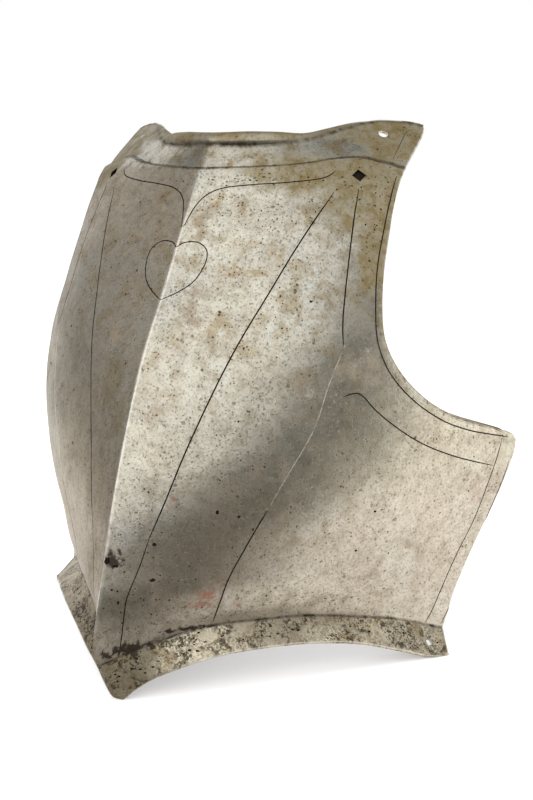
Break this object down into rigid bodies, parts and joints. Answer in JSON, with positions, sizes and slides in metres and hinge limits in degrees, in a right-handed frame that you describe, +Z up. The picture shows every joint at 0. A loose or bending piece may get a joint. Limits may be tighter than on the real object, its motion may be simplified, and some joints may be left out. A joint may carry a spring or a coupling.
{
  "type": "cuirass breastplate",
  "caption": "Steel breastplate of a cuirass with a sharp medial ridge dipping to a low peak, rolled neck, stepped neck band, wide arm openings and an out-turned waist flange.",
  "frame": {"origin": "on the ground under the middle of the plate's bounding box; the plate stands on the tip and the two corners of its waist flange", "axes": "+X to the wearer's left side, -Y the way the wearer faces, +Z up"},
  "size_m": [0.3872, 0.243, 0.3586],
  "materials": {
    "breastplate": "aged forged steel, satin, with brown patina, small dark pits, rust spots and dark engraved lines"
  },
  "bodies": {
    "root": {"breastplate": "breastplate"}
  },
  "joints": []
}
